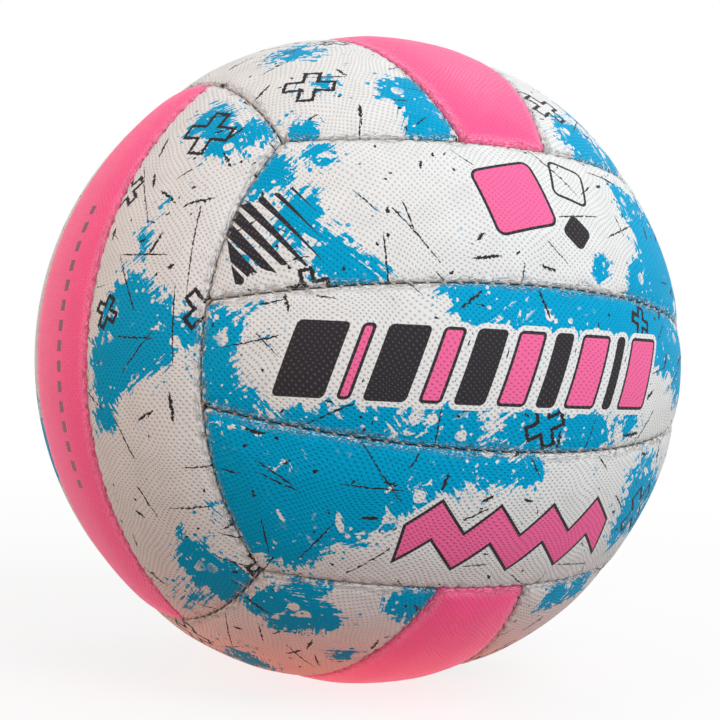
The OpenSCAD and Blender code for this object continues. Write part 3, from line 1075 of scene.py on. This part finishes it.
def plain(name, colour, roughness, grain, depth):
    """Rubber, cloth or thread: a mottled colour and a fine grain on the piece's own coordinates"""
    material, g, shader = principled(name)
    place = g.vector("SCALE", g.node("ShaderNodeTexCoord").outputs["Object"], 1 / MM)
    mottle = g.noise(place, grain, detail=3.0, roughness=0.6)
    g.feed(shader.inputs["Base Color"], g.mix(mottle, tint([c * PLAIN_SHADE for c in colour]), tint(colour)))
    rough = g.maths("MULTIPLY_ADD", mottle, ROUGHNESS_SWING, roughness - ROUGHNESS_SWING / 2)
    g.feed(shader.inputs["Roughness"], rough)
    bump = g.node("ShaderNodeBump", Height=g.times(mottle, depth), Strength=1.0, Distance=MM)
    g.feed(shader.inputs["Normal"], bump.outputs[0])
    return material


block_skin = skin("block_printed_skin", WHITE_SKIN, WHITE_PITCH, lay_blocks)
tile_skin = skin("tile_printed_skin", WHITE_SKIN, WHITE_PITCH, lay_tiles)
zigzag_skin = skin("zigzag_printed_skin", WHITE_SKIN, WHITE_PITCH, lay_zigzag)
splashed_skin = skin("splashed_skin", WHITE_SKIN, WHITE_PITCH)
PLAIN_PINK = {"painted": False, "finish": PINK_FINISH, "glow": PINK_PAINTED_GLOW, "painted_sheen": PINK_SHEEN}
pink_skin = skin("pink_skin", PINK_SKIN, PINK_PITCH, **PLAIN_PINK)
dashed_skin = skin("dashed_pink_skin", PINK_SKIN, PINK_PITCH, lay_dashes, **PLAIN_PINK)
thread, lining_cloth, butyl, valve_rubber, plug_rubber = (
    plain(name, *settings) for name, settings in PLAIN.items()
)

# The skin and the slot name of each face's three strips
PRINTED_FACE = ((zigzag_skin, "printed_skin"), (block_skin, "printed_skin"), (tile_skin, "printed_skin"))
SIDE_FACE = ((splashed_skin, "splashed_skin"), (dashed_skin, "pink_skin"), (splashed_skin, "splashed_skin"))
END_FACE = ((splashed_skin, "splashed_skin"), (pink_skin, "pink_skin"), (splashed_skin, "splashed_skin"))
FACE_SKINS = {
    "front": PRINTED_FACE, "back": PRINTED_FACE,
    "left": SIDE_FACE, "right": SIDE_FACE,
    "top": END_FACE, "bottom": END_FACE,
}
for face_number, face in enumerate(FACES):
    for strip, (material, slot) in enumerate(FACE_SKINS[face]):
        cover_panel(face, strip, face_number * 3 + strip, material)
    seam_stitches(face, thread)

CAD_MATERIALS = {
    "lining": lining_cloth, "valve_patch": lining_cloth,
    "bladder": butyl, "valve_boss": valve_rubber, "valve_plug": plug_rubber,
}
for name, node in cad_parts.items():
    for part, material in CAD_MATERIALS.items():
        if part in name:
            node.data.materials.clear()
            node.data.materials.append(material)


# Stage, light and camera


def background_rays(g):
    """1 for the rays to which the background shows plain white"""
    path = g.node("ShaderNodeLightPath").outputs
    return g.most(path["Is Camera Ray"], path["Is Glossy Ray"], path["Is Transmission Ray"])


def pale_floor():
    """White but for shadows to the camera and to reflections. To other light grey, and warm by the ball."""
    material, g, shader = principled("pale_floor")
    g.tree.nodes.remove(shader)
    shown = background_rays(g)
    far = g.vector("LENGTH", g.node("ShaderNodeTexCoord").outputs["Object"])
    keep = g.maths("MULTIPLY_ADD", g.step(far, *FLOOR_FADE), 1 - FLOOR_KEEP, FLOOR_KEEP)
    warm = g.times(g.less(1.0, shown), g.step(far, *WARM_REACH))
    glow = g.node("ShaderNodeEmission", Color=g.mix(shown, tint(FLOOR_WARMTH), (1, 1, 1, 1)), Strength=1.0)
    cloth = g.node("ShaderNodeBsdfDiffuse", Color=g.mix(shown, tint(FLOOR_LIT), (1, 1, 1, 1)))
    mixed = g.tree.nodes.new("ShaderNodeMixShader")
    glowing = g.maths("ADD", g.times(shown, keep), warm)
    for socket, value in zip(mixed.inputs, (glowing, cloth.outputs[0], glow.outputs[0])):
        g.feed(socket, value)
    g.feed(g.tree.nodes["Material Output"].inputs["Surface"], mixed.outputs[0])
    return material


def lamp(name, steps, distance, size, power, colour):
    """A square soft lamp that faces the ball"""
    light = bpy.data.lights.new(name, "AREA")
    light.size = size
    light.energy = power
    light.color = colour
    holder = linked(name, light)
    right, up, near = steps
    way = (CAMERA_RIGHT * right + CAMERA_UP * up - CAMERA_FORWARD * near).normalized()
    holder.location = way * distance
    holder.rotation_mode = "QUATERNION"
    holder.rotation_quaternion = way.to_track_quat("Z", "Y")


bpy.ops.object.select_all(action="DESELECT")
bpy.ops.mesh.primitive_plane_add(size=FLOOR_SPAN, location=(0, 0, cad_box[0].z))
floor = bpy.context.object
floor.name = "floor"
floor.data.materials.append(pale_floor())

world = bpy.data.worlds.new("studio")
bpy.context.scene.world = world
world.use_nodes = True
sky = Graph(world.node_tree)
backdrop = world.node_tree.nodes["Background"].inputs
shown = background_rays(sky)
sky.feed(backdrop["Color"], sky.mix(shown, SKY_COLOUR, (1, 1, 1, 1)))
sky.feed(backdrop["Strength"], sky.maths("MULTIPLY_ADD", shown, 1 - SKY_STRENGTH, SKY_STRENGTH))

for name, settings in LAMPS.items():
    lamp(name, *settings)

camera_data = bpy.data.cameras.new("camera")
camera_data.lens = CAMERA_LENS
camera_data.sensor_width = CAMERA_SENSOR
camera_data.shift_x, camera_data.shift_y = CAMERA_SHIFT
camera_data.clip_start, camera_data.clip_end = CAMERA_CLIP
camera = linked("camera", camera_data)
axes = Matrix((CAMERA_RIGHT, CAMERA_UP, -CAMERA_FORWARD)).transposed()
camera_place = -CAMERA_FORWARD * CAMERA_DISTANCE_SHARE * BALL_R * MM
camera.matrix_world = Matrix.Translation(camera_place) @ axes.to_4x4()
bpy.context.scene.camera = camera
bpy.context.scene.view_settings.view_transform = "Standard"
